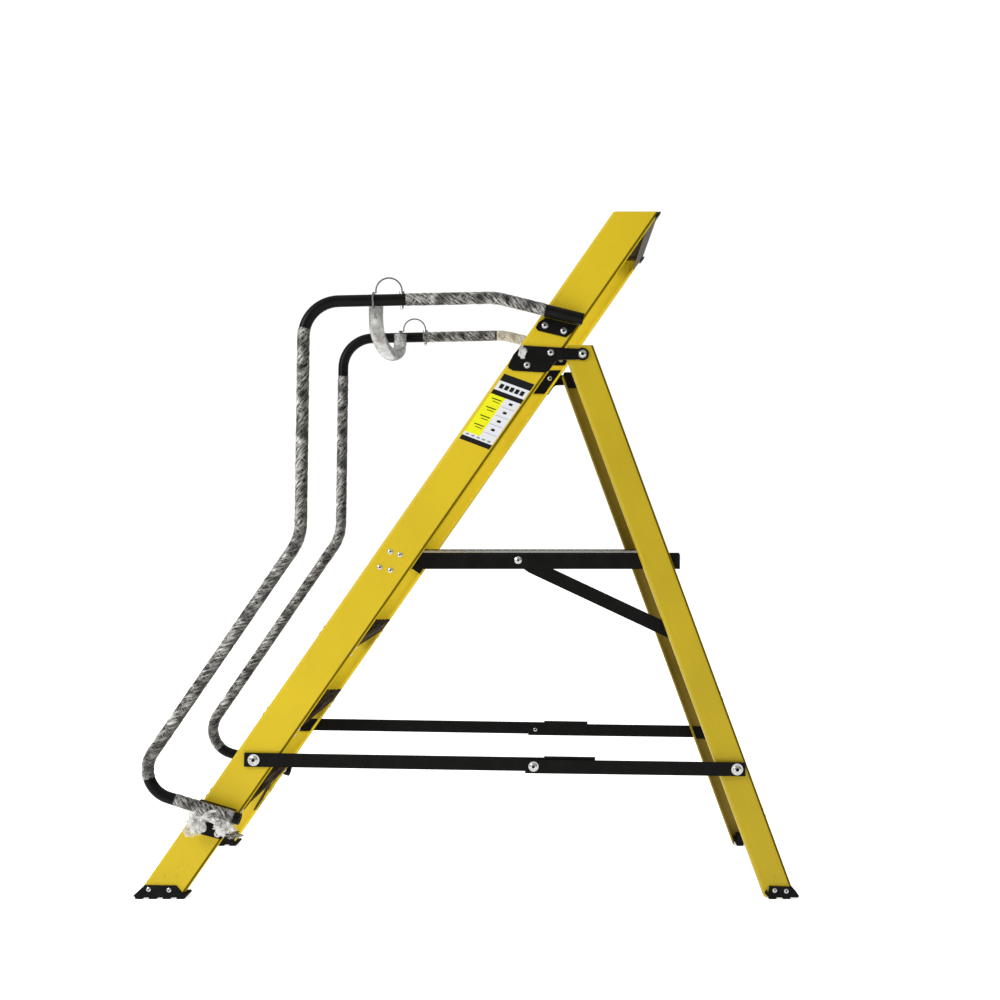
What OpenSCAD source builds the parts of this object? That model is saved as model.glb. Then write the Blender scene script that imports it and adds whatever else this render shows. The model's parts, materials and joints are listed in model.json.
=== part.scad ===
// Platform step ladder: a fibreglass front frame with steps, a folding rear frame,
// a standing platform, folding spreaders, two handrails and a safety barrier.
// X runs across the ladder, the climbing side faces -Y, and the feet stand on Z = 0.
// Side outlines are drawn as [y, z] points and extruded across X.

/* [Frame] */
// Overall width over the outer faces of the front stiles
frame_width = 540; // [480:5:600]
// Lean of the front stiles from the vertical, in degrees
front_lean = 34.88; // [34.5:0.02:35.2]
// Lean of the rear stiles from the vertical, in degrees
rear_lean = 20.14; // [19.8:0.02:20.5]
// Height of the cut tops of the front stiles
ladder_height = 1642; // [1600:1:1680]
// Depth of a front stile's web
front_web = 90; // [86:1:94]
// Depth of a rear stile's web
rear_web = 70; // [66:1:74]

/* [Steps and platform] */
// Height of the standing platform's deck
platform_height = 823; // [815:1:830]
// Height of the lowest step
first_step = 242; // [230:1:255]
// Rise from one step to the next
step_rise = 195; // [185:1:200]
// Number of steps below the platform
step_count = 3; // [2:1:3]

/* [Handrails and barrier] */
// Outside diameter of the handrail tube
rail_diameter = 28; // [25:1:30]
// Outside diameter of the barrier's sleeve
sleeve_diameter = 36; // [30:1:37]

/* [Hidden] */
$fn = 48;

half_w = frame_width / 2;      // outer face of the front webs
rear_half = half_w - 0.5;      // the rear webs run just inside the hinge plates
wall = 4.5;                    // stile wall
flange = 32;                   // stile flange, from the outer face inward
stile_round = 8;               // outer corner radius of a stile
tip_x = half_w - flange;       // inner tips of the flanges
seat_gap = 0.02;               // between a front web and the parts bolted on it
web_face = half_w + seat_gap;
front_foot_y = -738.2;         // front stile centre line at the floor
rear_foot_y = 751.5;           // rear stile centre line at the floor
overcut = 60;                  // length trimmed off each raw stile end
sheet = 3.5;                   // thickness of bars and bracket plates
rear_top = 1323;               // top of the rear stiles

function front_y(z) = front_foot_y + tan(front_lean) * z;

// Pivots, as [y, z]
hinge = [278, 1301];
platform_pivot = [-165, 800];
strut_top = [123.5, 808];
strut_end = [505, 629];
spreader_front_pivot = [-506, 333];
spreader_rear_pivot = [645.8, 311.3];
knee = [161, 318];

// X layers of the moving side parts, from the webs outward and inward
bar_in = half_w + 3.5;         // front spreader bar
bar_out = bar_in + 4;          // rear spreader bar
bar_depth = 33;
strut_x = 224.5;               // inner face of the platform struts
strut_t = 4.5;
rail_web_x = 229.5;            // inner face of the platform rails
rail_web_t = 2.5;
running = 0.06;                // radial clearance of a running pivot

// Handrail centre line, as [y, z] corners with the bend radius at each inner corner
rail_x = half_w + 28;
rail_route = [[279, 1380], [72, 1431], [-382, 1421], [-390, 862], [-794, 275], [-533, 196]];
rail_bends = [0, 150, 85, 120, 70, 0];
rail_wall = 2;
weld_gap = 0.01;               // between each leg and bend of a handrail

// Barrier: a sleeve hung between the handrails in one plane, as [x, z] points
barrier_y = -217;
barrier_route = [[257, 1428], [257, 1410], [256, 1392], [250, 1374], [234, 1360], [205, 1350],
    [160, 1343], [110, 1339], [55, 1338], [0, 1340], [-55, 1345], [-110, 1352], [-160, 1361],
    [-205, 1371], [-235, 1381], [-251, 1395], [-257, 1411], [-257, 1428]];
pin_y = -150;                  // lock pins through the handrails
yellow = [0.80, 0.69, 0.16];
black = [0.06, 0.06, 0.06];
zinc = [0.80, 0.80, 0.78];
grey = [0.62, 0.60, 0.56];

// ---------- helpers ----------
module both_sides() {
    children();
    mirror([1, 0, 0]) children();
}

// Extrudes a [y, z] outline across X between two planes
module across(x0, x1) {
    translate([x0, 0, 0]) rotate([90, 0, 90]) linear_extrude(x1 - x0) children();
}

// A round part along X at a [y, z] point
module rod_x(p, x0, x1, r) {
    translate([x0, p[0], p[1]]) rotate([0, 90, 0]) cylinder(r = r, h = x1 - x0);
}

// A round head with a sloping rim, on the face x0 and pointing outward
module head_x(p, x0, h, r) {
    translate([x0, p[0], p[1]]) rotate([0, 90, 0]) {
        cylinder(r = r, h = h * 0.4);
        translate([0, 0, h * 0.4]) cylinder(r1 = r, r2 = r * 0.62, h = h * 0.6);
    }
}

// C section with its web at u = 0 and its flanges along +u
module c_section(web, depth, t, r) {
    ri = r - t;
    difference() {
        union() {
            translate([0, -web / 2 + r]) square([r, web - 2 * r]);
            translate([r, -web / 2]) square([depth - r, web]);
            for (s = [-1, 1]) translate([r, s * (web / 2 - r)]) circle(r = r);
        }
        translate([t, -web / 2 + t + ri]) square([ri, web - 2 * (t + ri)]);
        translate([t + ri, -web / 2 + t]) square([depth, web - 2 * t]);
        for (s = [-1, 1]) translate([t + ri, s * (web / 2 - t - ri)]) circle(r = ri);
    }
}

// Puts children, drawn upright, on the leaning line that meets the floor at foot_y
module lean(foot_y, angle) {
    translate([0, foot_y, 0]) rotate([-angle, 0, 0]) children();
}

module in_front_stile() {
    lean(front_foot_y, front_lean) children();
}

module in_rear_stile() {
    lean(rear_foot_y, -rear_lean) children();
}

module level_slab(z0, z1) {
    translate([-400, -1100, z0]) cube([800, 2200, z1 - z0]);
}

module raw_stile(outer_x, web, length) {
    translate([0, 0, -overcut]) linear_extrude(length + 2 * overcut)
        translate([outer_x, 0]) mirror([1, 0]) c_section(web, flange, wall, stile_round);
}

module front_stile_body() {
    intersection() {
        in_front_stile() raw_stile(half_w, front_web, ladder_height / cos(front_lean));
        level_slab(4, ladder_height);
    }
}

module rear_stile_body() {
    difference() {
        intersection() {
            in_rear_stile() raw_stile(rear_half, rear_web, rear_top / cos(rear_lean));
            level_slab(4, rear_top);
        }
        corner_cut();
    }
}

// Takes the front top corner off a rear stile, so it clears the front stile as it turns
corner_reach = 41;             // from the hinge to the cut face
module corner_cut() {
    translate([0, hinge[0], hinge[1]]) rotate([160, 0, 0]) translate([-400, corner_reach, -150])
        cube([800, 200, 300]);
}

// ---------- front frame ----------
front_web_rivets = [[-181, 829], [-158, 822], [-206, 792], [-181, 785]];
hinge_bolts = [[138.4, 1308.7], [145.4, 1274.3], [202, 1304.4]];
upper_rail_bolts = [[188, 1369], [233, 1356]];
lower_rail_bolts = [[-628, 168], [-593, 156]];
front_shoe_bolts = [[-757.7, 23.4], [-708.9, 21.7]];
rear_shoe_bolts = [[736.6, 21], [764.3, 19.4]];
bolt_r = 3;

module front_stile() {
    color(yellow) difference() {
        front_stile_body();
        for (p = concat(front_web_rivets, hinge_bolts, upper_rail_bolts, lower_rail_bolts))
            rod_x(p, half_w - 20, half_w + 5, bolt_r);
        for (p = front_shoe_bolts) rod_x(p, half_w - 20, half_w + 5, bolt_r);
        rod_x(spreader_front_pivot, half_w - 20, half_w + 5, spreader_pin_r);
    }
}

module front_stile_r() {
    front_stile();
}

module front_stile_l() {
    mirror([1, 0, 0]) front_stile();
}

step_half = tip_x - 0.5;       // half length of a step between the flange tips
step_lip = 34;                 // height of a step's lips
step_skin = 2.5;
step_depth = front_web / cos(front_lean) - 2;
tread_t = 2.5;

// A step: a flat top with front and rear lips, and an end plate at each stile
module step(z) {
    y = front_y(z);
    front = -step_depth / 2;
    drop = tan(front_lean) * step_lip;
    color(black) {
        translate([-step_half, y + front, z - tread_t - step_skin])
            cube([2 * step_half, step_depth, step_skin]);
        for (edge = [0, 1]) across(-step_half, step_half) polygon([
            [y + front + edge * (step_depth - step_skin), z],
            [y + front + edge * (step_depth - step_skin) + step_skin, z],
            [y + front + edge * (step_depth - step_skin) + step_skin - drop, z - step_lip],
            [y + front + edge * (step_depth - step_skin) - drop, z - step_lip]]);
        for (side = [-1, 1]) across(side * step_half - (side > 0 ? step_skin : 0),
            side * step_half + (side > 0 ? 0 : step_skin)) polygon([
            [y + front, z - tread_t], [y - front, z - tread_t],
            [y - front - drop, z - step_lip], [y + front - drop, z - step_lip]]);
        both_sides() for (edge = [-1, 1]) intersection() {
            in_front_stile() translate([step_half - 1, edge * (front_web / 2 - wall - 1.5) - 1.5,
                z / cos(front_lean) - 60]) cube([25, 3, 90]);
            level_slab(z - step_lip, z - tread_t);
        }
    }
}

function step_z(i) = first_step + (i - 1) * step_rise;

module step_1() {
    step(step_z(1));
}

module step_2() {
    step(step_z(2));
}

module step_3() {
    if (step_count > 2) step(step_z(3));
}

tread_rib = 1.5;               // height of a tread's ribs above its sheet
tread_inset = step_skin + 0.2;

module step_treads() {
    color(grey) for (i = [1:step_count]) {
        y0 = front_y(step_z(i)) - step_depth / 2 + tread_inset;
        depth = step_depth - 2 * tread_inset - tan(front_lean) * tread_t;
        translate([-step_half + 2, y0, step_z(i) - tread_t])
            cube([2 * step_half - 4, depth, tread_t - tread_rib]);
        for (k = [0:10]) translate([-step_half + 2, y0 + 2 + k * (depth - 7) / 10,
            step_z(i) - tread_rib]) cube([2 * step_half - 4, 3, tread_rib]);
    }
}

// Flat straps from inside the lowest step down to the stiles, inside their rear flanges,
// as [x, distance up the stile] points
brace_t = 4;
module step_braces() {
    color(black) both_sides() in_front_stile() translate([0, front_web / 2 - wall - 0.1, 0])
        rotate([90, 0, 0]) linear_extrude(brace_t) polygon([[76, 300], [100, 300], [258, 172],
            [258, 146], [240, 146]]);
}

module step_rivets() {
    color(zinc) both_sides() for (i = [1:step_count]) for (edge = [-1, 1]) for (dz = [-1, 1]) {
        along = (step_z(i) - step_lip / 2) / cos(front_lean) + dz * 9;
        in_front_stile() translate([tip_x + 14, 0, along]) rotate([edge * -90, 0, 0])
            translate([0, 0, front_web / 2]) rivet_head(5, 2.2);
    }
}

module rivet_head(r, h) {
    cylinder(r = r, h = h * 0.4);
    translate([0, 0, h * 0.4]) cylinder(r1 = r, r2 = r * 0.6, h = h * 0.6);
}

top_band = 42;                 // length of the top channel's rear face along the stiles
top_skin = 3;
module top_channel() {
    edge_y = front_y(ladder_height) + front_web / 2 / cos(front_lean);
    front_edge_y = front_y(ladder_height) - front_web / 2 / cos(front_lean);
    color(grey) {
        translate([-tip_x + 0.5, front_edge_y + 1, ladder_height - top_skin])
            cube([2 * tip_x - 1, edge_y - front_edge_y - 2, top_skin]);
        intersection() {
            in_front_stile() translate([-tip_x + 0.5, front_web / 2 - top_skin,
                ladder_height / cos(front_lean) - top_band - 10]) cube([2 * tip_x - 1, top_skin, 120]);
            level_slab(ladder_height - top_band * cos(front_lean), ladder_height);
        }
        intersection() {
            in_front_stile() translate([-tip_x + 0.5, -front_web / 2,
                ladder_height / cos(front_lean) - 40 - 20]) cube([2 * tip_x - 1, top_skin, 120]);
            level_slab(ladder_height - 30, ladder_height);
        }
        both_sides() translate([tip_x - 4, front_y(ladder_height - 4) - 47,
            ladder_height - top_skin - 3]) cube([30, 94, 3]);
    }
}

cap_drop = 13;
module top_end_caps() {
    color(black) both_sides() intersection() {
        in_front_stile() translate([tip_x, front_web / 2, ladder_height / cos(front_lean) - 70])
            cube([flange - 1, 4, 140]);
        level_slab(ladder_height - cap_drop, ladder_height);
    }
}

shoe_x0 = tip_x - 3;
shoe_x1 = half_w + 3.5;
front_shoe_side = [[-768, 33], [-692, 32], [-675, 12], [-667, 13], [-664, 9], [-672, 4],
    [-790, 4], [-794.5, 8.6]];
rear_shoe_side = [[724, 31], [776.5, 29], [783, 22], [794.4, 9], [794.4, 4], [723, 4],
    [713, 14], [717, 22], [722, 14]];
tread_block = 18;              // length of one sole block
tread_gap = 15;

module sole_blocks(y0, y1) {
    pitch = tread_block + tread_gap;
    count = floor((y1 - y0 + tread_gap) / pitch);
    for (k = [0:count - 1])
        translate([shoe_x0, y0 + k * pitch, 0]) cube([shoe_x1 - shoe_x0, tread_block, 5]);
}

module front_shoe() {
    color(black) difference() {
        union() {
            across(shoe_x0, shoe_x1) polygon(front_shoe_side);
            sole_blocks(-790, -670);
        }
        front_stile_body();
        for (p = front_shoe_bolts) rod_x(p, half_w - 20, half_w + 5, bolt_r);
    }
}

module front_shoe_r() {
    front_shoe();
}

module front_shoe_l() {
    mirror([1, 0, 0]) front_shoe();
}

// Rivets through the outer wall of a shoe and the web
module shoe_rivets(points) {
    color(zinc) both_sides() for (p = points) {
        rod_x(p, half_w - wall - 1, shoe_x1, bolt_r);
        head_x(p, shoe_x1, 2.2, 5.5);
    }
}

module front_shoe_rivets() {
    shoe_rivets(front_shoe_bolts);
}

hinge_pin_r = 6;
spreader_pin_r = 5;
plate_t = 4;

// Hinge plate: a body on the front web and an arm that reaches the hinge bolt
module hinge_plate() {
    color(black) across(web_face, web_face + plate_t) difference() {
        union() {
            polygon([[131.7, 1321.6], [hinge[0] - 8, 1313.6], [hinge[0] - 8, 1288.4], [219.4, 1286.5],
                [213, 1282.7], [198, 1261.4], [190, 1257], [112.6, 1261.4], [102, 1267],
                [99.7, 1272], [112.6, 1299.4]]);
            translate(hinge) circle(r = 15);
        }
        translate(hinge) circle(r = hinge_pin_r);
        for (p = hinge_bolts) translate(p) circle(r = bolt_r);
    }
}

module hinge_plate_r() {
    hinge_plate();
}

module hinge_plate_l() {
    mirror([1, 0, 0]) hinge_plate();
}

// A bolt through a web: shank, outer washer and dome head, and a nut inside
module through_bolt(p, x_in, x_out, r, head_r) {
    rod_x(p, x_in - 5, x_out, r);
    rod_x(p, x_out, x_out + 1.2, head_r * 1.25);
    head_x(p, x_out + 1.2, 3.6, head_r);
    difference() {
        translate([x_in - 5, p[0], p[1]]) rotate([0, 90, 0]) cylinder(r = head_r, h = 5, $fn = 6);
        rod_x(p, x_in - 6, x_in + 1, r);
    }
}

module hinge_plate_bolts() {
    color(zinc) both_sides() for (p = hinge_bolts)
        through_bolt(p, half_w - wall - sheet, web_face + plate_t, bolt_r, 6.5);
}

module hinge_pivot_bolts() {
    color(zinc) both_sides() {
        rod_x(hinge, rear_half - wall - 11.7, web_face + plate_t, hinge_pin_r);
        rod_x(hinge, web_face + plate_t, web_face + plate_t + 1.5, 10);
        head_x(hinge, web_face + plate_t + 1.5, 5, 8);
        difference() {
            translate([rear_half - wall - 11.7, hinge[0], hinge[1]]) rotate([0, 90, 0])
                cylinder(r = 10.5, h = 7, $fn = 6);
            rod_x(hinge, rear_half - wall - 12, rear_half - wall, hinge_pin_r);
        }
    }
}

// Plates inside the front webs, behind the hinge plate, the upper rail bracket and the spreader
module front_backing(z0, z1, points, r) {
    inside = front_web - 2 * stile_round;
    difference() {
        intersection() {
            in_front_stile() translate([half_w - wall - sheet, -inside / 2, 0])
                cube([sheet, inside, 1800]);
            level_slab(z0, z1);
        }
        for (p = points) rod_x(p, half_w - 20, half_w, r);
    }
}

module backing_plates() {
    color(black) both_sides() {
        front_backing(1262, 1328, hinge_bolts, bolt_r);
        front_backing(1342, 1384, upper_rail_bolts, bolt_r);
        front_backing(spreader_front_pivot[1] - 17, spreader_front_pivot[1] + 17,
            [spreader_front_pivot], spreader_pin_r);
    }
}

// Blocks inside the front webs that carry the platform's pivots, with their pivot pins
pivot_pin_r = 6;
bracket_in = 233;
module platform_brackets() {
    inside = front_web - 2 * wall - 1;
    color(black) both_sides() {
        difference() {
            in_front_stile() translate([bracket_in, -inside / 2, 952])
                cube([half_w - wall - bracket_in, inside, 64]);
            for (p = front_web_rivets) rod_x(p, bracket_in - 1, half_w, bolt_r);
            rod_x(platform_pivot, bracket_in - 1, half_w, pivot_pin_r);
            front_stile_body();
        }
        rod_x(platform_pivot, 226, half_w - wall, pivot_pin_r);
        rod_x(platform_pivot, 222, 229.2, 9);
    }
}

module platform_bracket_rivets() {
    color(zinc) both_sides() for (p = front_web_rivets) {
        rod_x(p, half_w - 30, web_face, bolt_r);
        head_x(p, web_face, 2.6, 6.2);
    }
}

// ---------- handrails ----------
// Direction of a leg, as a unit [y, z]
function unit(v) = v / norm(v);
function turn(i) = let (a = unit(rail_route[i] - rail_route[i - 1]),
    b = unit(rail_route[i + 1] - rail_route[i])) acos(a * b);
function trim(i) = (i == 0 || i == len(rail_route) - 1) ? 0 : rail_bends[i] * tan(turn(i) / 2);
function cross2(a, b) = a[0] * b[1] - a[1] * b[0];

// A straight round leg in the plane of the rail between two [y, z] points
module rail_leg(p, q, r) {
    v = q - p;
    translate([0, p[0], p[1]]) rotate([-atan2(v[0], v[1]), 0, 0]) cylinder(r = r, h = norm(v));
}

// The same leg as a hollow tube
module tube_leg(p, q, r) {
    v = q - p;
    translate([0, p[0], p[1]]) rotate([-atan2(v[0], v[1]), 0, 0]) difference() {
        cylinder(r = r, h = norm(v));
        translate([0, 0, -1]) cylinder(r = r - rail_wall, h = norm(v) + 2);
    }
}

// A bend at corner i, as part of a ring
module rail_bend(i, r) {
    a = unit(rail_route[i] - rail_route[i - 1]);
    b = unit(rail_route[i + 1] - rail_route[i]);
    side = cross2(a, b) > 0 ? 1 : -1;
    start = rail_route[i] - a * trim(i);
    centre = start + side * rail_bends[i] * [-a[1], a[0]];
    from = start - centre;
    angle = atan2(from[1], from[0]);
    translate([0, centre[0], centre[1]]) rotate([90, 0, 90])
        rotate([0, 0, side > 0 ? angle : angle - turn(i)])
        rotate_extrude(angle = turn(i), $fn = 96) translate([rail_bends[i], 0]) difference() {
            circle(r = r);
            circle(r = r - rail_wall);
        }
}

module rail_solid(r) {
    for (i = [0:len(rail_route) - 2]) {
        a = unit(rail_route[i + 1] - rail_route[i]);
        tube_leg(rail_route[i] + a * (trim(i) + weld_gap),
            rail_route[i + 1] - a * (trim(i + 1) + weld_gap), r);
    }
    for (i = [1:len(rail_route) - 2]) rail_bend(i, r);
}

lock_pin_r = 4;
module handrail() {
    color(black) translate([rail_x, 0, 0]) difference() {
        rail_solid(rail_diameter / 2);
        translate([0, pin_y, 1380]) cylinder(r = lock_pin_r + running, h = 80);
    }
}

module handrail_r() {
    handrail();
}

module handrail_l() {
    mirror([1, 0, 0]) handrail();
}

// A saddle under a handrail's end, filling from the web to the tube, cut round the tube
module saddle(p, q, half_height) {
    v = q - p;
    difference() {
        translate([0, p[0], p[1]]) rotate([-atan2(v[0], v[1]), 0, 0])
            translate([web_face, -half_height, 0]) cube([rail_x - web_face, 2 * half_height, norm(v)]);
        translate([rail_x, 0, 0])
            rail_leg(p - unit(v) * 10, q + unit(v) * 10, rail_diameter / 2 + 0.05);
    }
}

module rail_brackets_upper() {
    color(black) both_sides() {
        saddle([188, 1402.4], [276, 1380.7], 12);
        across(web_face, web_face + sheet) difference() {
            polygon([[190, 1388], [266, 1369], [253, 1352], [238, 1341], [172, 1357], [166, 1364],
                [172, 1376]]);
            for (p = upper_rail_bolts) translate(p) circle(r = bolt_r);
        }
    }
}

module rail_brackets_lower() {
    color(black) both_sides() {
        saddle([-636, 227.2], [-552, 201.8], 12);
        across(web_face, web_face + sheet) difference() {
            polygon([[-646, 214], [-566, 190], [-572, 160], [-584, 142], [-644, 158],
                [-654, 176]]);
            for (p = lower_rail_bolts) translate(p) circle(r = bolt_r);
        }
    }
}

module rail_bracket_bolts() {
    color(zinc) both_sides() {
        for (p = upper_rail_bolts)
            through_bolt(p, half_w - wall - sheet, web_face + sheet, bolt_r, 6.5);
        for (p = lower_rail_bolts)
            through_bolt(p, half_w - wall, web_face + sheet, bolt_r, 6.5);
    }
}

module spreader_bolts_front() {
    color(zinc) both_sides() {
        rod_x(spreader_front_pivot, half_w - wall - sheet - 6, bar_in + sheet + 0.3,
            spreader_pin_r);
        difference() {
            rod_x(spreader_front_pivot, web_face, bar_in - 0.3, 11);
            rod_x(spreader_front_pivot, half_w - 1, bar_in, spreader_pin_r);
        }
        rod_x(spreader_front_pivot, bar_in + sheet + 0.3, bar_in + sheet + 1.8, 14);
        head_x(spreader_front_pivot, bar_in + sheet + 1.8, 4, 10);
        rod_x(spreader_front_pivot, half_w - wall - sheet - 6, half_w - wall - sheet, 9);
    }
}

label_t = 0.4;
label_reach = 45;              // from the stile's centre line to the label's long edges
label_front = [1100, 1254.5];  // heights of the ends of its front edge
label_rear = [1073, 1228.5];   // heights of the ends of its rear edge
module rating_label() {
    color("white") across(web_face, web_face + label_t) polygon([
        [front_y(label_front[0]) - label_reach, label_front[0]],
        [front_y(label_front[1]) - label_reach, label_front[1]],
        [front_y(label_rear[1]) + label_reach, label_rear[1]],
        [front_y(label_rear[0]) + label_reach, label_rear[0]]]);
}

// ---------- safety barrier ----------
// A tube swept along the barrier's route, one ring of points at each route point
sleeve_sides = 12;
route_n = len(barrier_route);
function tangent(i) = unit(barrier_route[min(i + 1, route_n - 1)] - barrier_route[max(i - 1, 0)]);
function ring(i) = let (t = tangent(i), p = barrier_route[i], r = sleeve_diameter / 2)
    [for (k = [0:sleeve_sides - 1]) let (a = 360 * k / sleeve_sides)
        [p[0] - t[1] * r * cos(a), barrier_y + r * sin(a), p[1] + t[0] * r * cos(a)]];

module barrier_sleeve() {
    n = sleeve_sides;
    points = [for (i = [0:route_n - 1]) each ring(i)];
    sides = [for (i = [0:route_n - 2]) for (k = [0:n - 1])
        [i * n + k, (i + 1) * n + k, (i + 1) * n + (k + 1) % n, i * n + (k + 1) % n]];
    caps = [[for (k = [0:n - 1]) k], [for (k = [n - 1:-1:0]) (route_n - 1) * n + k]];
    color("gainsboro") polyhedron(points, concat(sides, caps));
}

// A ring round each handrail, and the link that joins it to the sleeve
ring_wire = 2.6;
module barrier_rings() {
    ring_r = rail_diameter / 2 + ring_wire + 0.5;
    rail_z = 1424.8;
    end = barrier_route[0];
    color(zinc) both_sides() {
        translate([rail_x, barrier_y, rail_z]) rotate([90, 0, 0])
            rotate_extrude($fn = 64) translate([ring_r, 0]) circle(r = ring_wire, $fn = 24);
        translate([end[0], barrier_y, end[1]]) cylinder(r = 4, h = 10);
        translate([end[0], barrier_y, end[1] + 7]) rotate([0, 90, 0])
            cylinder(r = 2, h = rail_x - 14 - end[0]);
    }
}

// Lock pins: a headed pin down through each handrail, and the wire hoop on its head
pin_top = 1443;
pin_tip = 1402;
pin_head = [1440.6, 1445.5];
module lock_pin() {
    color(zinc) translate([rail_x, pin_y, 0]) {
        translate([0, 0, pin_tip + 4]) cylinder(r = lock_pin_r, h = pin_top - pin_tip - 4);
        translate([0, 0, pin_tip]) cylinder(r1 = 2.4, r2 = lock_pin_r, h = 4);
        translate([0, 0, pin_head[0]]) cylinder(r = 6.5, h = pin_head[1] - pin_head[0]);
    }
}

module lock_pin_r() {
    lock_pin();
}

module lock_pin_l() {
    mirror([1, 0, 0]) lock_pin();
}

hoop_wire = 1.9;
hoop_half = 31;
hoop_z = 1446.5;
module pin_hoop() {
    color(zinc) translate([rail_x, pin_y - hoop_half, 0]) {
        translate([0, 0, hoop_z]) rotate([90, 0, 90]) rotate_extrude(angle = 180, $fn = 64)
            translate([hoop_half, 0]) circle(r = hoop_wire, $fn = 24);
        translate([0, hoop_half, pin_head[1]]) cylinder(r = hoop_wire, h = hoop_z - pin_head[1], $fn = 24);
        translate([0, -hoop_half, hoop_z - 5]) cylinder(r = hoop_wire, h = 5, $fn = 24);
    }
}

module pin_hoop_r() {
    pin_hoop();
}

module pin_hoop_l() {
    mirror([1, 0, 0]) pin_hoop();
}

// ---------- rear frame ----------
module rear_stile() {
    color(yellow) difference() {
        rear_stile_body();
        rod_x(hinge, rear_half - 20, half_w + 2, hinge_pin_r + running);
        rod_x(spreader_rear_pivot, rear_half - 20, half_w + 2, spreader_pin_r);
        for (p = rear_shoe_bolts) rod_x(p, rear_half - 20, half_w + 2, bolt_r);
    }
}

module rear_stile_r() {
    rear_stile();
}

module rear_stile_l() {
    mirror([1, 0, 0]) rear_stile();
}

// A cross-bar: an upright channel against the inner side of the stiles' rear flanges
crossbar_h = 40;
crossbar_t = 16;
crossbar_half = rear_half - wall - 4;
module rear_crossbar(z) {
    along = z / cos(rear_lean);
    color(black) in_rear_stile() difference() {
        translate([-crossbar_half, rear_web / 2 - wall - crossbar_t, along - crossbar_h / 2])
            cube([2 * crossbar_half, crossbar_t, crossbar_h]);
        translate([-crossbar_half - 1, rear_web / 2 - wall - crossbar_t - 1,
            along - crossbar_h / 2 + 2.5])
            cube([2 * crossbar_half + 2, crossbar_t - 1.5, crossbar_h - 5]);
    }
}

crossbar_z = [190, 470];
module rear_crossbar_lower() {
    rear_crossbar(crossbar_z[0]);
}

module rear_crossbar_middle() {
    rear_crossbar(crossbar_z[1]);
}

module crossbar_rivets() {
    color(zinc) both_sides() for (z = crossbar_z) for (dz = [-1, 1])
        in_rear_stile() translate([rear_half - 19, rear_web / 2, z / cos(rear_lean) + dz * 9])
            rotate([-90, 0, 0]) rivet_head(5, 1.6);
}

module rear_shoe() {
    color(black) difference() {
        union() {
            across(shoe_x0, shoe_x1) polygon(rear_shoe_side);
            sole_blocks(723, 794);
        }
        rear_stile_body();
        for (p = rear_shoe_bolts) rod_x(p, half_w - 20, half_w + 5, bolt_r);
    }
}

module rear_shoe_r() {
    rear_shoe();
}

module rear_shoe_l() {
    mirror([1, 0, 0]) rear_shoe();
}

module rear_shoe_rivets() {
    shoe_rivets(rear_shoe_bolts);
}

// Doubler plates inside the rear webs, round the hinge bolt and the spreader bolt
doubler_t = 4.2;
module rear_doubler(z0, z1, p, r) {
    inside = rear_web - 2 * stile_round;
    difference() {
        intersection() {
            in_rear_stile() translate([rear_half - wall - doubler_t, -inside / 2, 0])
                cube([doubler_t, inside, 1450]);
            level_slab(z0, z1);
        }
        rod_x(p, rear_half - 20, rear_half, r);
        corner_cut();
    }
}

module rear_backing_plates() {
    color(black) both_sides() {
        rear_doubler(1278, rear_top - 2, hinge, hinge_pin_r + running);
        rear_doubler(spreader_rear_pivot[1] - 17, spreader_rear_pivot[1] + 17,
            spreader_rear_pivot, spreader_pin_r);
    }
}

// A plate across the right rear flange tips, with a boss that faces the strut's end
module strut_bracket() {
    tip = rear_half - flange;
    color(black) {
        in_rear_stile() translate([tip - 3, -rear_web / 2 + 2, strut_end[1] / cos(rear_lean) - 44])
            cube([3, rear_web - 4, 80]);
        rod_x(strut_end, strut_x + strut_t + 0.5, tip - 3, 10);
    }
}

module spreader_bolts_rear() {
    color(zinc) both_sides() {
        rod_x(spreader_rear_pivot, rear_half - wall - doubler_t - 6, bar_out + sheet + 0.3,
            spreader_pin_r);
        difference() {
            rod_x(spreader_rear_pivot, rear_half, bar_out - 0.3, 11);
            rod_x(spreader_rear_pivot, rear_half - 1, bar_out, spreader_pin_r);
        }
        rod_x(spreader_rear_pivot, bar_out + sheet + 0.3, bar_out + sheet + 1.8, 14);
        head_x(spreader_rear_pivot, bar_out + sheet + 1.8, 4, 10);
        rod_x(spreader_rear_pivot, rear_half - wall - doubler_t - 6, rear_half - wall - doubler_t, 9);
    }
}

// ---------- platform ----------
deck_sheet = 2;
rail_bottom = 786.5;
rail_top = platform_height + 3;
rail_front_y = -190;
rail_rear_y = 506;
ledge = 30;
module platform_rail(strut_hole) {
    color(black) difference() {
        union() {
            across(rail_web_x, rail_web_x + rail_web_t) polygon([[rail_front_y, rail_bottom],
                [rail_rear_y, rail_bottom], [rail_rear_y, rail_top], [rail_front_y, rail_top]]);
            translate([rail_web_x - ledge, rail_front_y, platform_height - deck_sheet - 2.5])
                cube([ledge, rail_rear_y - rail_front_y, 2.5]);
        }
        rod_x(platform_pivot, rail_web_x - 1, 240, pivot_pin_r + running);
        if (strut_hole) rod_x(strut_top, rail_web_x - 1, 240, spreader_pin_r);
    }
}

module platform_rail_r() {
    platform_rail(true);
}

module platform_rail_l() {
    mirror([1, 0, 0]) platform_rail(false);
}

deck_rib = 1.2;
module platform_deck() {
    half = rail_web_x - 0.5;
    color(grey) {
        translate([-half, rail_front_y + 2, platform_height - deck_sheet])
            cube([2 * half, rail_rear_y - rail_front_y - 4, deck_sheet]);
        for (k = [0:27]) translate([-half + 10, rail_front_y + 12 + k * 24.6, platform_height])
            cube([2 * half - 20, 6, deck_rib]);
    }
}

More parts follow.
